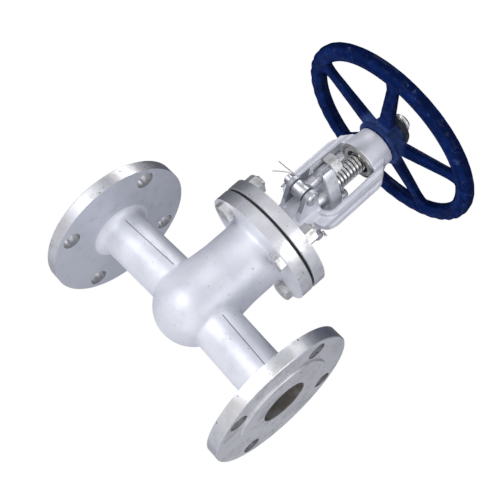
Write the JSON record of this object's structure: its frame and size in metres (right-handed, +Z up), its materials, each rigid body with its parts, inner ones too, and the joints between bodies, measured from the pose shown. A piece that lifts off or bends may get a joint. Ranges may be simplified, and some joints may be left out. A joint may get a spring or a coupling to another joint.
{
  "type": "globe valve",
  "caption": "Flanged globe valve with a bolted bonnet, an outside-screw yoke, a swing-bolt gland and a spoked handwheel; turning the wheel lifts the disc off its seat.",
  "frame": {"origin": "centre of the inlet flange's raised face, on the pipe axis", "axes": "+X along the flow from inlet to outlet, +Z up the stem towards the handwheel, +Y across the pipe to the rear"},
  "size_m": [0.25, 0.215, 0.3545],
  "materials": {
    "cast_body": "fine blasted cast surface in pale silver grey",
    "bright_steel": "bright machined",
    "stem_steel": "fine turned",
    "gland_steel": "satin, lightly machined",
    "dark_steel": "blackened",
    "bronze": "turned bronze",
    "wheel_paint": "gloss navy blue enamel over a cast surface",
    "gasket_black": "matt black graphite sheet",
    "packing_graphite": "braided graphite"
  },
  "bodies": {
    "root": {"valve_body": "cast_body", "seat_ring": "bright_steel", "bonnet_gasket": "gasket_black", "bonnet_yoke": "cast_body", "backseat_bush": "bronze", "bonnet_bolts": "bright_steel", "bonnet_nuts": "bright_steel", "packing_washer": "bright_steel", "packing_ring_1": "packing_graphite", "packing_ring_2": "packing_graphite", "packing_ring_3": "packing_graphite", "packing_ring_4": "packing_graphite", "gland_bush": "gland_steel", "gland_flange": "gland_steel", "gland_pin_front": "bright_steel", "gland_pin_rear": "bright_steel", "split_pin_front": "bright_steel", "split_pin_rear": "bright_steel", "retaining_ring": "dark_steel", "thrust_washer": "bronze"},
    "handwheel": {"stem_nut": "bronze", "handwheel": "wheel_paint", "wheel_key": "dark_steel", "wheel_washer": "dark_steel", "wheel_nut": "dark_steel"},
    "stem": {"stem": "stem_steel"},
    "disc": {"valve_disc": "stem_steel", "disc_nut": "stem_steel"},
    "gland_bolt_front": {"gland_eyebolt_front": "bright_steel", "gland_nut_front": "bright_steel"},
    "gland_bolt_rear": {"gland_eyebolt_rear": "bright_steel", "gland_nut_rear": "bright_steel"}
  },
  "joints": [
    {"name": "handwheel_turn", "type": "hinge", "parent": "root", "child": "handwheel", "pos_m": [0.125, 0, 0.2415], "axis": [0, 0, 1], "range_deg": [0, 1440]},
    {"name": "stem_lift", "type": "slide", "parent": "root", "child": "stem", "axis": [0, 0, 1], "range_m": [0, 0.016]},
    {"name": "disc_swivel", "type": "hinge", "parent": "stem", "child": "disc", "pos_m": [0.125, 0, 0.022], "axis": [0, 0, 1], "continuous": true},
    {"name": "gland_bolt_front_swing", "type": "hinge", "parent": "root", "child": "gland_bolt_front", "pos_m": [0.125, -0.0365, 0.1425], "axis": [1, 0, 0], "range_deg": [0, 90]},
    {"name": "gland_bolt_rear_swing", "type": "hinge", "parent": "root", "child": "gland_bolt_rear", "pos_m": [0.125, 0.0365, 0.1425], "axis": [-1, 0, 0], "range_deg": [0, 90]}
  ],
  "couplings": [
    {"joint": "stem_lift", "follows": "handwheel_turn", "m_per_rad": 0.00063662}
  ]
}
